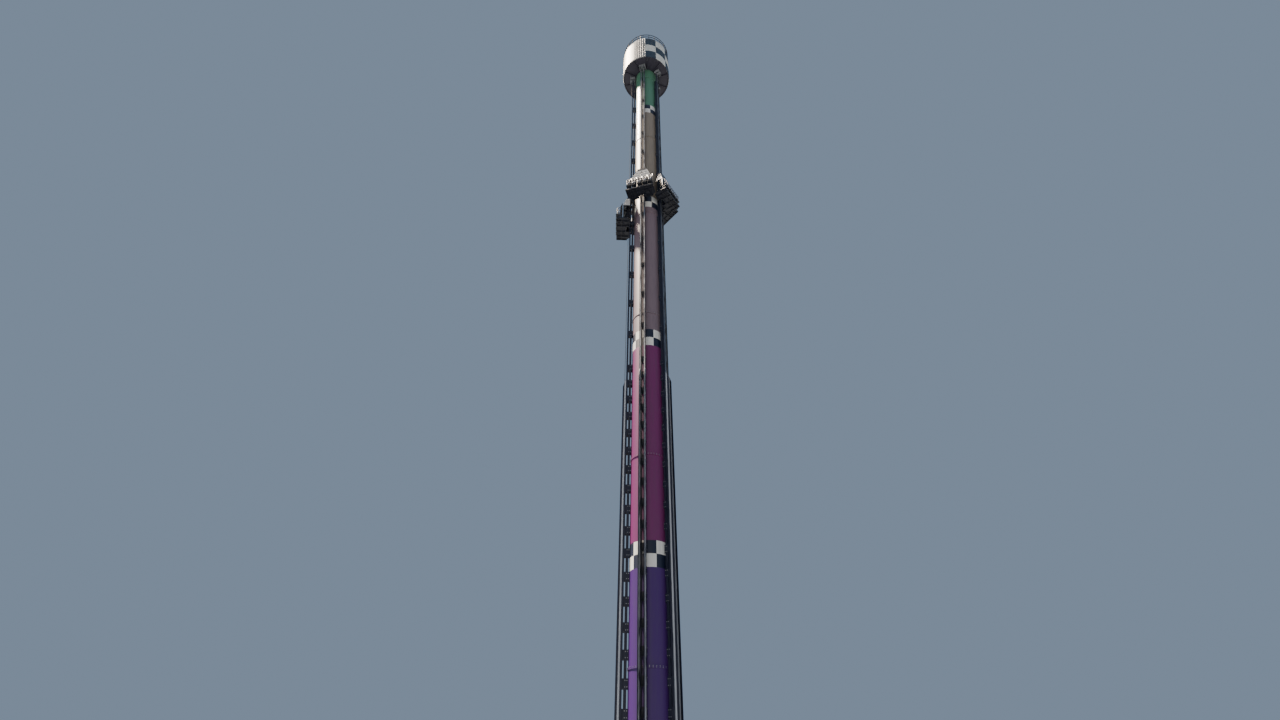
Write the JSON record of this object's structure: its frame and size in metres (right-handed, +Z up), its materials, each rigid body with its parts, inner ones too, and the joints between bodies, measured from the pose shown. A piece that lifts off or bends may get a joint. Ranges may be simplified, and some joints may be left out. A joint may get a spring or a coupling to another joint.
{
  "type": "drop tower ride, 1:2 scale model",
  "caption": "Tall round-column drop tower with vertical tracks, seat gondolas that slide on them and a drum-shaped machinery head.",
  "frame": {"origin": "centre of the underside of the base plate, on the mounting plane", "axes": "+Z up the tower, -Y out through the front gondola, +X to its right"},
  "size_m": [2.9214, 2.7784, 35.05],
  "materials": {
    "violet_paint": "semi-gloss violet paint",
    "magenta_paint": "semi-gloss magenta paint",
    "mauve_paint": "semi-gloss pale mauve paint",
    "tan_paint": "semi-gloss cream paint",
    "green_paint": "semi-gloss green paint",
    "navy_steel": "dark navy paint",
    "dark_steel": "dark grey paint",
    "light_steel": "light grey paint",
    "bright_steel": "bare steel",
    "checker_cladding": "chequered sheet cladding",
    "cream_panel": "plain cream panel",
    "pale_gray_panel": "light grey paint",
    "seat_shell": "dark moulded shell",
    "harness_steel": "light padded steel bar"
  },
  "bodies": {
    "tower": {"base_plate": "navy_steel", "column_1": "violet_paint", "column_2": "violet_paint", "column_3": "magenta_paint", "column_4": "mauve_paint", "column_5": "tan_paint", "column_6": "tan_paint", "column_7": "green_paint", "guide_rails": "navy_steel", "rail_brackets": "navy_steel", "brake_fins": "navy_steel", "hoist_ropes": "bright_steel", "lower_sheaves": "bright_steel", "sheave_brackets": "light_steel", "head_floor": "dark_steel", "head_wall": "checker_cladding", "head_roof": "dark_steel", "sign_panel": "cream_panel", "roof_railing": "dark_steel", "obstruction_light": "light_steel"},
    "sheave_1": {"sheave_1": "bright_steel"},
    "sheave_2": {"sheave_2": "bright_steel"},
    "sheave_3": {"sheave_3": "bright_steel"},
    "sheave_4": {"sheave_4": "bright_steel"},
    "sheave_5": {"sheave_5": "bright_steel"},
    "gondola_1": {"gondola_1_chassis": "navy_steel", "gondola_1_cover": "pale_gray_panel", "gondola_1_seats": "seat_shell", "gondola_1_harnesses": "harness_steel"},
    "gondola_2": {"gondola_2_chassis": "navy_steel", "gondola_2_cover": "pale_gray_panel", "gondola_2_seats": "seat_shell", "gondola_2_harnesses": "harness_steel"},
    "gondola_3": {"gondola_3_chassis": "navy_steel", "gondola_3_cover": "pale_gray_panel", "gondola_3_seats": "seat_shell", "gondola_3_harnesses": "harness_steel"},
    "gondola_4": {"gondola_4_chassis": "navy_steel", "gondola_4_cover": "pale_gray_panel", "gondola_4_seats": "seat_shell", "gondola_4_harnesses": "harness_steel"},
    "gondola_5": {"gondola_5_chassis": "navy_steel", "gondola_5_cover": "pale_gray_panel", "gondola_5_seats": "seat_shell", "gondola_5_harnesses": "harness_steel"}
  },
  "joints": [
    {"name": "sheave_1_spin", "type": "hinge", "parent": "tower", "child": "sheave_1", "pos_m": [0, -0.725, 32.25], "axis": [1, 0, 0], "continuous": true},
    {"name": "sheave_2_spin", "type": "hinge", "parent": "tower", "child": "sheave_2", "pos_m": [0.68952, -0.22404, 32.25], "axis": [0.309, 0.9511, 0], "continuous": true},
    {"name": "sheave_3_spin", "type": "hinge", "parent": "tower", "child": "sheave_3", "pos_m": [0.42614, 0.58654, 32.25], "axis": [-0.809, 0.5878, 0], "continuous": true},
    {"name": "sheave_4_spin", "type": "hinge", "parent": "tower", "child": "sheave_4", "pos_m": [-0.42614, 0.58654, 32.25], "axis": [-0.809, -0.5878, 0], "continuous": true},
    {"name": "sheave_5_spin", "type": "hinge", "parent": "tower", "child": "sheave_5", "pos_m": [-0.68952, -0.22404, 32.25], "axis": [0.309, -0.9511, 0], "continuous": true},
    {"name": "gondola_1_lift", "type": "slide", "parent": "tower", "child": "gondola_1", "axis": [0, 0, 1], "range_m": [-20.4, 8.45]},
    {"name": "gondola_2_lift", "type": "slide", "parent": "tower", "child": "gondola_2", "axis": [0, 0, 1], "range_m": [-20.4, 8.45]},
    {"name": "gondola_3_lift", "type": "slide", "parent": "tower", "child": "gondola_3", "axis": [0, 0, 1], "range_m": [-20.8, 8.05]},
    {"name": "gondola_4_lift", "type": "slide", "parent": "tower", "child": "gondola_4", "axis": [0, 0, 1], "range_m": [-20.2, 8.65]},
    {"name": "gondola_5_lift", "type": "slide", "parent": "tower", "child": "gondola_5", "axis": [0, 0, 1], "range_m": [-19.15, 9.7]}
  ]
}
